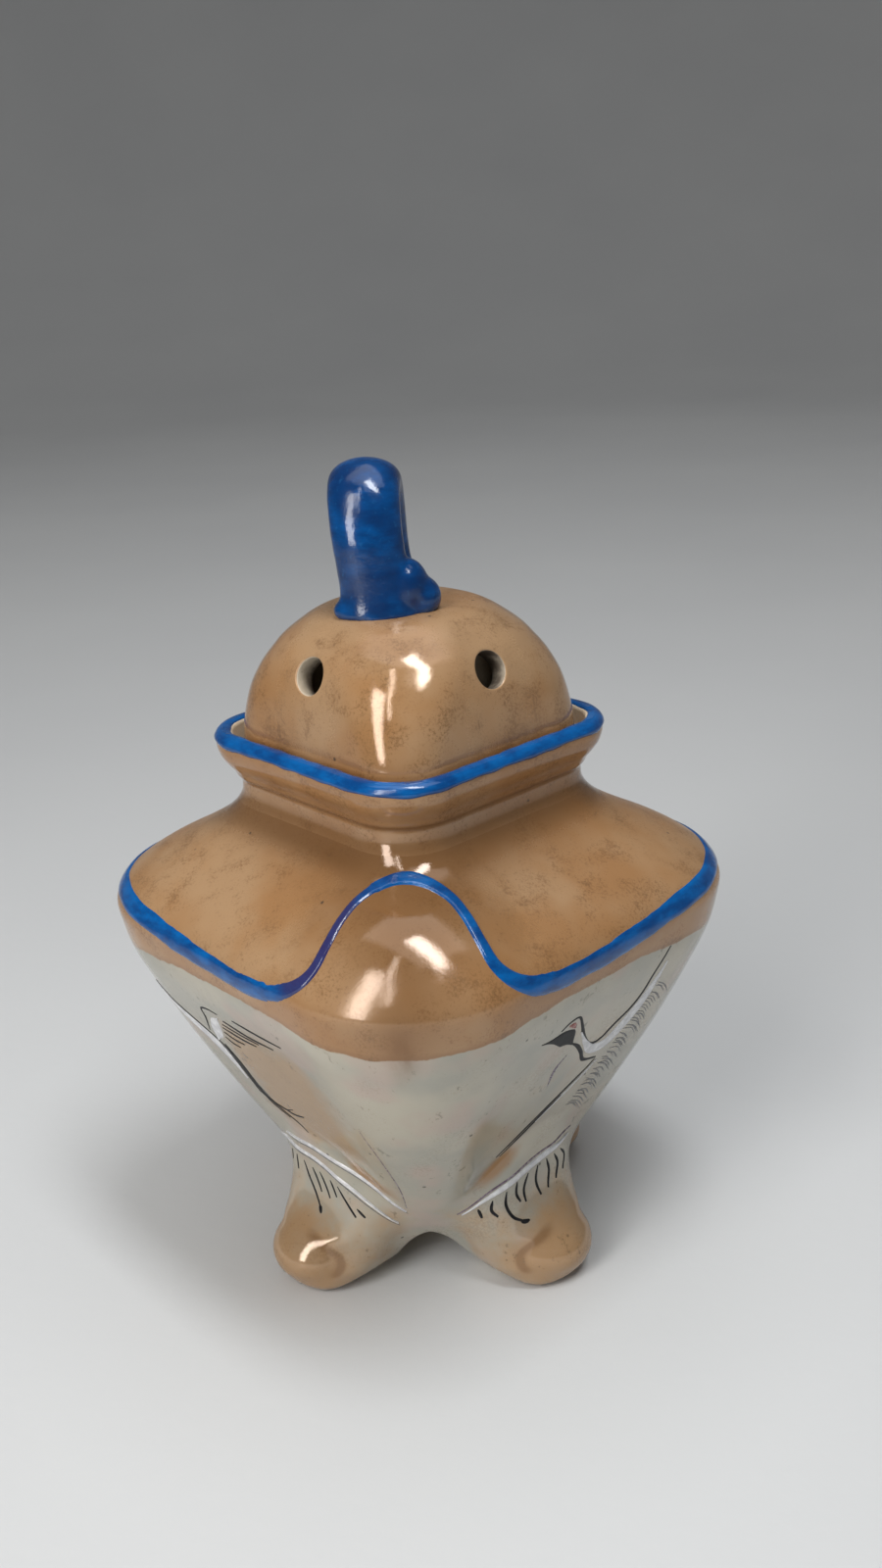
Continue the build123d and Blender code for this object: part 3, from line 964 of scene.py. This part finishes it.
TAIL_FAN = [
    [(-4.2, 20.2), (-2.7, 17.0), (0.9, 13.7)], [(-6.5, 20.2), (-6.1, 17.6)], [(-2.0, 19.8), (0.2, 16.1)],
    [(-0.1, 19.8), (2.4, 15.9)], [(2.5, 19.4), (4.0, 16.8)], [(4.3, 19.0), (8.2, 14.7)],
    [(8.2, 16.2), (9.5, 14.8)], [(-8.6, 20.0), (-8.4, 18.2)],
]


def strokes(made, face, rows, scale=1.0, height=0.07):
    """Strokes from a list of (points, width)."""
    for points, width in rows:
        stroke(made, face, points, scale * width, height)


def hatching(face, made, seed):
    """Fine grey strokes that shade the body of the crane."""
    draw = np.random.default_rng(seed)
    for share in np.linspace(0, 1, 44):
        t = 15.6 - 10.4 * share + draw.uniform(-0.4, 0.4)
        z = 52.0 - 22.0 * share + draw.uniform(-0.4, 0.4)
        reach = draw.uniform(2.6, 5.2)
        lean = draw.uniform(-0.6, 0.2)
        points = [(t, z), (t + 0.55 * reach, z - 0.25 * reach + lean), (t + reach, z - 0.75 * reach + lean)]
        stroke(made, face, points, draw.uniform(0.2, 0.4), 0.04)


def crane_with_head(face):
    """The painting whose bird turns its black face and red crown to the left."""
    name = FACES[face]
    ink, slip, grey, red, violet = Builder(), Builder(), Builder(), Builder(), Builder()
    hatching(face, grey, 40 + face)
    strokes(slip, face, CRANE_HEAD_SLIP, 1.0, 0.12)
    strokes(slip, face, CRANE_LOWER_SLIP, 1.15, 0.22)
    strokes(ink, face, CRANE_HEAD_INK, 1.15)
    strokes(violet, face, CRANE_LOWER_WING, 1.0, 0.10)
    for points in CRANE_FEATHERS:
        stroke(ink, face, points, 0.75, start=0.3, end=0.7)
    stroke(ink, face, [(-5.2, 12.5), (-4.3, 12.2), (-3.6, 12.2)], 1.0)
    stroke(red, face, [(-5.4, 53.4), (-4.5, 53.2), (-3.6, 52.2)], 1.3)
    stroke(violet, face, [(-2.6, 45.9, 0.4), (-4.2, 43.6, 1.2), (-4.2, 40.0, 0.6)], 1.0, 0.03)
    finish_painting(name, ink, slip, grey, violet)
    red.piece(f"crane_crown_{name}", "vessel", "lustre_glaze", [RED])


def crane_with_tail(face):
    """The painting whose bird shows its tail and wing, its head round the corner."""
    name = FACES[face]
    ink, slip, grey, violet = Builder(), Builder(), Builder(), Builder()
    strokes(slip, face, CRANE_TAIL_SLIP, 1.0, 0.12)
    for points in TAIL_PALE_LINES:
        stroke(slip, face, points, 0.85, 0.22)
        # a thin grey stroke just below each raised white line: its painted shadow
        below = [(t - 0.1, z - 0.75) for t, z in points]
        stroke(grey, face, below, 0.35, 0.04)
    strokes(ink, face, CRANE_TAIL_INK, 1.3)
    for points in TAIL_FAN:
        stroke(ink, face, points, 0.6, start=0.3, end=0.7)
    stroke(ink, face, [(0.5, 14.1), (1.0, 13.5), (1.3, 13.1)], 0.95)
    draw = np.random.default_rng(70 + face)
    for share in np.linspace(0, 1, 16):
        t, z = -12.0 + 3.2 * share, 43.5 - 9.5 * share
        reach = draw.uniform(1.6, 3.4)
        stroke(grey, face, [(t, z), (t + 0.6 * reach, z - 0.5 * reach), (t + reach, z - 1.2 * reach)],
               draw.uniform(0.25, 0.45), 0.04)
    stroke(violet, face, [(20.0, 40.0), (19.7, 33.0), (18.4, 25.0), (15.9, 18.0)], 0.3, 0.03)
    finish_painting(name, ink, slip, grey, violet)


def finish_painting(name, ink, slip, grey, violet):
    """Makes the pieces of one face's painting, one for each paint."""
    paints = (("slip", slip, SLIP), ("grey", grey, GREY), ("ink", ink, INK), ("violet", violet, VIOLET))
    for paint, made, material in paints:
        made.piece(f"crane_{paint}_{name}", "vessel", "lustre_glaze", [material])


build_shoulder_line()
crane_with_head(FACES.index("front_right"))
crane_with_tail(FACES.index("front_left"))
crane_with_head(FACES.index("back_left"))
crane_with_tail(FACES.index("back_right"))

# ---------------------------------------------------------------- lid
DOME = [
    (LEDGE_Z, 29.8, 8.6), (92.0, 29.9, 8.8), (96.0, 29.5, 9.6), (99.0, 29.0, 10.6),
    (102.5, 27.8, 12.2), (106.0, 25.6, 13.8), (109.0, 21.6, 13.2), (110.4, 18.7, 12.0),
    (111.1, 16.2, 10.8), (SEAT_Z, 13.4, 9.2),
]
CEILING_Z = 108.2                 # top of the hollow inside
DOME_INSIDE = [
    (LEDGE_Z, 25.2, 7.0), (90.0, 25.2, 7.0), (96.0, 25.0, 8.6), (99.0, 24.4, 9.4),
    (102.5, 22.8, 10.6), (105.5, 19.6, 10.8), (CEILING_Z, 12.0, 8.2),
]
LID_STEP, LID_TURNS = 0.42, 288   # spacing of the dome's rings, and points in each
VENT_RADIUS, VENT_Z, VENT_OUT, VENT_TILT = 2.9, 104.0, 19.4, math.radians(20)
VENT_DROP = 1.3                   # how much lower a vent is on the inside
VENT_LIP = 0.35                   # rounding of its edges
VENT_BLOCK = 12                   # half width in grid cells of the patch around a vent
SHADE_AND_SOOT_DEPTH = 6.0                  # how far into a vent the painted shade and soot reach
FLANGE_S, FLANGE_R = 25.1, 7.0
lid_angles = np.arange(LID_TURNS) * 2 * math.pi / LID_TURNS
dome_curve, dome_inside_curve = curve_of(DOME), curve_of(DOME_INSIDE)


def levels_about(curve, low, middle, high, step):
    """Evenly spaced heights that include the middle one, and that one's place."""
    below = even_levels(curve, low, middle, step)
    above = even_levels(curve, middle, high, step)
    return np.concatenate([below, above[1:]]), len(below) - 1


def vent_axes(face):
    """Centre and three directions of a vent: along the face, up the face and out."""
    turn = math.radians(45 + 90 * face)
    out = np.array([math.cos(turn), math.sin(turn), 0])
    axis = out * math.cos(VENT_TILT) + np.array([0, 0, math.sin(VENT_TILT)])
    across = np.array([-math.sin(turn), math.cos(turn), 0])
    return out * VENT_OUT + np.array([0, 0, VENT_Z]), across, np.cross(axis, across), axis


def along_vent(curve, centre, across, upward, axis, a, b):
    """Points of a dome surface that lie at (a, b) beside a vent's axis."""
    base = centre + a[:, None] * across + b[:, None] * upward

    def distance(u):
        p = base + u[:, None] * axis
        s, r = curve(p[:, 2])
        return square_distance(p[:, 0], p[:, 1], s, r)

    u = crossing(distance, np.full(len(a), -9.0), np.full(len(a), 9.0), 60)
    return base + u[:, None] * axis


def walk_round(half):
    """Steps (dx, dy) round a square block of cells, from the middle of its right side."""
    side, steps = [(half, k) for k in range(-half, half)], []
    for _ in range(4):
        steps += side
        side = [(-dy, dx) for dx, dy in side]
    return steps[half:] + steps[:half]


def dome_wall(made, curve, levels, middle_row, inward, kind):
    """One side of the dome's wall with its four vents; gives its rings and the vents' inner rings."""
    rings = [made.ring(outline(lid_angles, *curve(h), h)) for h in levels]
    points = np.concatenate(made.points)
    columns = [LID_TURNS // 8 + face * LID_TURNS // 4 for face in range(4)]
    block = range(-VENT_BLOCK, VENT_BLOCK)
    cut = {column + k for column in columns for k in block}
    for row, (a, b) in enumerate(zip(rings, rings[1:])):
        made.band(a, b, kind, cut if row - middle_row in block else ())
    throats = []
    for face, column in enumerate(columns):
        border = [
            rings[middle_row + dy][(column + dx) % LID_TURNS] for dx, dy in walk_round(VENT_BLOCK)
        ]
        centre, across, upward, axis = vent_axes(face)
        local = points[border] - centre
        a, b = local @ across, local @ upward
        turn = np.arange(len(border)) * 2 * math.pi / len(border)
        ca, sa = np.cos(turn), np.sin(turn)
        previous = border
        for share in (0.8, 0.6, 0.42, 0.27, 0.14, 0.0):
            wide = (VENT_RADIUS + VENT_LIP) * (1 - share)
            pa, pb = a * share + ca * wide, b * share + sa * wide
            ring = made.ring(along_vent(curve, centre, across, upward, axis, pa, pb))
            made.band(previous, ring, kind)
            previous = ring
        for bend in np.radians([18, 36, 54, 72, 90]):
            wide = VENT_RADIUS + VENT_LIP * (1 - math.sin(bend))
            at = along_vent(curve, centre, across, upward, axis, ca * wide, sa * wide)
            ring = made.ring(at - axis * inward * VENT_LIP * (1 - math.cos(bend)))
            made.band(previous, ring, kind if bend < 1.2 else 1)
            previous = ring
        throats.append(previous)
    return rings, throats


def dome_masks(points):
    """Gloss runs down the four corner ridges of the dome; its faces are satin."""
    x, y, z = points.T
    gloss = smoothstep(np.abs(folded(x, y)[1]), 4.5, 13) * 0.9 + 0.1
    low = 1 - smoothstep(z, 88, 97)
    # painted shade that deepens into each vent's throat, with some soot
    vent_shade_and_soot = np.zeros(len(z))
    for face in range(4):
        centre, across, upward, axis = vent_axes(face)
        local = points - centre
        off_axis = np.hypot(local @ across, local @ upward)
        depth = -(local @ axis)
        in_vent = (off_axis < VENT_RADIUS + 0.1) & (depth > 0) & (depth < SHADE_AND_SOOT_DEPTH)
        # more painted shade in the front right and back left vents, whose walls in view are turned from the
        # light
        start, full = (0.0, 0.9) if face % 2 else (0.6, 2.2)
        vent_shade_and_soot = np.where(in_vent, 0.96 * smoothstep(depth, start, full), vent_shade_and_soot)
    return {
        "vent_shade_and_soot": vent_shade_and_soot,
        "gloss": np.clip(np.maximum(gloss, 0.55 * low), 0, 1),
        "drip": 0.45 * bell(x, 0, 9) * bell(z, 108.5, 1.6) * (y < 0),
        "shade": np.clip(0.15 * low + 0.35 * bell(x, 14, 8) * (y < 0) * low, 0, 1),
    }


def build_dome():
    """The hollow domed lid with a vent in each face."""
    made = Builder()
    levels, middle = levels_about(dome_curve, LEDGE_Z, VENT_Z, SEAT_Z, LID_STEP)
    outer, outer_throats = dome_wall(made, dome_curve, levels, middle, 1, 0)
    levels, middle = levels_about(
        dome_inside_curve, LEDGE_Z, VENT_Z - VENT_DROP, CEILING_Z, LID_STEP - 0.02
    )
    inner, inner_throats = dome_wall(made, dome_inside_curve, levels, middle, -1, 1)
    for a, b in zip(outer_throats, inner_throats):
        made.band(a, b, 1)
    made.band(outer[0], inner[0], 1)
    for rings, height, kind, rise in ((outer, SEAT_Z, 0, 0.5), (inner, CEILING_Z, 1, 0.6)):
        previous = rings[-1]
        edge = np.concatenate(made.points)[previous]
        for share in (0.94, 0.86, 0.74, 0.6, 0.45, 0.3, 0.15):
            row = edge * [share, share, 1]
            row[:, 2] = height + rise * (1 - share) ** 0.8
            ring = made.ring(row)
            made.band(previous, ring, kind)
            previous = ring
        made.fan(previous, [0, 0, height + rise], kind)
    made.piece("dome_shell", "lid", "lustre_glaze", [LUSTRE_TAN, CLAY], ["lid_dome"], dome_masks)


def build_flange():
    """The bare ring under the dome that drops into the neck."""
    wall, round_off, chamfer = 2.4, 0.7, 0.3
    rows = [(0.0, FLANGE_HIGH)]
    for start, inward, turns in ((0.0, -1, (0, 30, 60, 90)), (-wall, 1, (90, 60, 30, 0))):
        for turn in np.radians(turns):
            in_by, up_by = round_off * (1 - math.cos(turn)), round_off * (1 - math.sin(turn))
            rows.append((start + inward * in_by, FLANGE_LOW + up_by))
    rows += [(-wall, FLANGE_HIGH - chamfer), (-wall + chamfer, FLANGE_HIGH)]
    made = Builder()
    rings = made.stack([outline(lid_angles, *grown(FLANGE_S, FLANGE_R, d), z) for d, z in rows])
    made.band(rings[-1], rings[0])
    made.piece("flange_ring", "lid", "bare_earthenware", [CLAY], ["lid_flange"])


# the handle's strap: (x, y, z, turn about X, half width, half thickness)
KNOB = [
    (-2.9, -6.5, 110.9, 0, 6.7, 4.2), (-3.0, -6.5, 113.2, 0, 6.0, 3.8),
    (-3.2, -6.5, 115.0, 0, 5.6, 3.6), (-3.7, -6.5, 118.6, 0, 5.4, 3.4),
    (-4.2, -6.2, 123.2, -8, 5.45, 3.4), (-4.5, -4.3, 128.2, -44, 5.5, 3.4),
    (-4.5, 0.0, 130.4, -90, 5.5, 3.4), (-4.3, 4.3, 128.2, -136, 5.4, 3.3),
    (-4.0, 6.2, 123.2, -172, 5.2, 3.3), (-3.6, 6.5, 118.4, -180, 5.0, 3.3),
    (-3.0, 6.5, 114.4, -180, 5.3, 3.6), (-2.4, 6.5, 110.9, -180, 6.4, 4.1),
]
# lobes pressed out at its root: (x, y, z, and the three radii)
LOBES = [
    (1.3, -5.7, 115.2, 3.4, 3.8, 4.3), (3.6, -5.3, 113.3, 2.9, 3.3, 3.2),
    (-7.6, -6.6, 112.0, 2.4, 2.4, 1.8), (-2.2, -8.3, 111.9, 4.2, 2.1, 1.5),
]
KNOB_STEP, KNOB_SIDES = 0.7, 36   # spacing of the rings along the strap, and points in each
VOXEL, SOFTENINGS = 0.32, 30      # cells that melt the parts together, mm, and smoothing after it
KNOB_SINK = 1.0                   # how far the knob's root reaches into the dome


def build_knob():
    """The strap handle looped over the lid, its parts melted together by a fine remesh."""
    made = Builder()
    turn = np.linspace(0, 2 * math.pi, KNOB_SIDES, endpoint=False)
    rows = []
    for x, y, z, lean, wide, thick in spline(KNOB, KNOB_STEP):
        c, s = math.cos(math.radians(lean)), math.sin(math.radians(lean))
        across, depth = wide * np.cos(turn), thick * np.sin(turn)
        rows.append(np.stack([x + across, y + depth * c, z + depth * s], -1))
    strap = made.stack(rows)
    made.cap(strap[0])
    made.cap(strap[-1])
    for x, y, z, rx, ry, rz in LOBES:
        rows = []
        for rise in np.radians(np.arange(-80, 81, 10)):
            flat, height = np.cos(rise), np.full(KNOB_SIDES, z + rz * np.sin(rise))
            rows.append(np.stack([x + rx * flat * np.cos(turn), y + ry * flat * np.sin(turn), height], -1))
        lobe = made.stack(rows)
        made.fan(lobe[0], [x, y, z - rz])
        made.fan(lobe[-1], [x, y, z + rz])
    rough = made.piece("knob_rough", "lid", "blue_enamel", [])
    remesh = rough.modifiers.new("melt", "REMESH")
    remesh.mode, remesh.voxel_size, remesh.use_smooth_shade = "VOXEL", VOXEL * MM, True
    soften = rough.modifiers.new("soften", "SMOOTH")
    soften.factor, soften.iterations = 0.5, SOFTENINGS
    graph = bpy.context.evaluated_depsgraph_get()
    mesh = bpy.data.meshes.new_from_object(rough.evaluated_get(graph))
    bpy.data.objects.remove(rough)
    points = np.zeros(len(mesh.vertices) * 3)
    mesh.vertices.foreach_get("co", points)
    points = points.reshape(-1, 3) / MM
    points[:, 2] = np.maximum(points[:, 2], SEAT_Z - KNOB_SINK)
    over = points[:, 2].max() - (KNOB_TOP - 0.05)
    points[:, 2] -= max(over, 0) * smoothstep(points[:, 2], SEAT_Z + 4, KNOB_TOP)
    mesh.vertices.foreach_set("co", (points * MM).ravel())
    mesh.name = "lid_knob"
    mesh.materials.clear()
    mesh.materials.append(ENAMEL)
    mesh.shade_smooth()
    knob = add_object("lid_knob", mesh)
    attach(knob, "lid")
    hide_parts("lid_finial")


build_dome()
build_flange()
build_knob()

# ---------------------------------------------------------------- stage, lights, camera
centre = (Vector(cad_box[0]) + Vector(cad_box[1])) / 2


def build_stage():
    """A plain pale sweep: a round floor that bends up into a low wall."""
    n = Nodes("pale_sweep")
    colour = n.mix(n.noise(180, 3, 0.5), (0.60, 0.61, 0.62), (0.68, 0.69, 0.69))
    material = n.finish(colour, 0.62, n.bump(n.noise(3, 3, 0.5), 0.05))
    flat, bend, height, sides = 1.2, 0.9, 1.3, 96
    profile = [(flat, 0.0)]
    for turn in np.radians(np.arange(10, 91, 10)):
        profile.append((flat + bend * math.sin(turn), bend * (1 - math.cos(turn))))
    profile.append((flat + bend, height))
    turns = np.arange(sides) * 2 * math.pi / sides
    points = [(0.0, 0.0, 0.0)] + [(r * math.cos(a), r * math.sin(a), z) for r, z in profile for a in turns]
    faces = [(0, 1 + i, 1 + (i + 1) % sides) for i in range(sides)]
    for row in range(len(profile) - 1):
        for i in range(sides):
            a, b = 1 + row * sides + i, 1 + row * sides + (i + 1) % sides
            faces.append((a, a + sides, b + sides, b))
    mesh = bpy.data.meshes.new("sweep")
    mesh.from_pydata(points, [], faces)
    mesh.materials.append(material)
    mesh.shade_smooth()
    sweep = add_object("sweep", mesh)


def soft_box(name, place, width, height, power, colour):
    """A rectangular lamp turned towards the object."""
    lamp = bpy.data.lights.new(name, "AREA")
    lamp.shape = "RECTANGLE"
    lamp.size, lamp.size_y, lamp.energy, lamp.color = width, height, power, colour
    made = add_object(name, lamp)
    made.location = centre + Vector(place)
    made.rotation_euler = (-Vector(place)).to_track_quat("-Z", "Y").to_euler()


def build_lights():
    """Two window-like lamps in front, a wide one overhead, and a grey surround."""
    soft_box("window_left", (-0.36, -0.50, 0.34), 0.17, 0.70, 3.5, (1.0, 0.98, 0.96))
    soft_box("window_right", (0.14, -0.16, 0.62), 0.12, 0.36, 2.1, (0.96, 0.98, 1.0))
    soft_box("window_slit", (-0.13, -0.40, 0.52), 0.022, 0.42, 0.4, (1.0, 0.99, 0.97))
    soft_box("overhead", (0.1, 0.1, 1.3), 1.3, 1.0, 5.0, (1.0, 1.0, 1.0))
    world = bpy.data.worlds.new("studio")
    world.use_nodes = True
    back = world.node_tree.nodes["Background"]
    back.inputs["Color"].default_value = (0.72, 0.71, 0.70, 1.0)
    back.inputs["Strength"].default_value = 0.13
    bpy.context.scene.world = world


def build_camera():
    """The photograph's viewpoint: a little to the right of the front corner, looking down on the lid."""
    from_centre = Vector((14.4, -231.4, 101.0)) * MM
    pitch, roll, turn = math.radians(20.6), math.radians(-2.9), math.radians(2.4)
    camera = bpy.data.cameras.new("camera")
    camera.sensor_width, camera.lens = 36.0, 35.1
    camera.clip_start = 0.01
    made = add_object("camera", camera)
    turned = (
        Matrix.Rotation(turn, 4, "Z") @ Matrix.Rotation(math.pi / 2 - pitch, 4, "X")
        @ Matrix.Rotation(roll, 4, "Z")
    )
    made.matrix_world = Matrix.Translation(centre + from_centre) @ turned
    bpy.context.scene.camera = made


build_stage()
build_lights()
build_camera()
bpy.context.scene.view_settings.view_transform = "Standard"
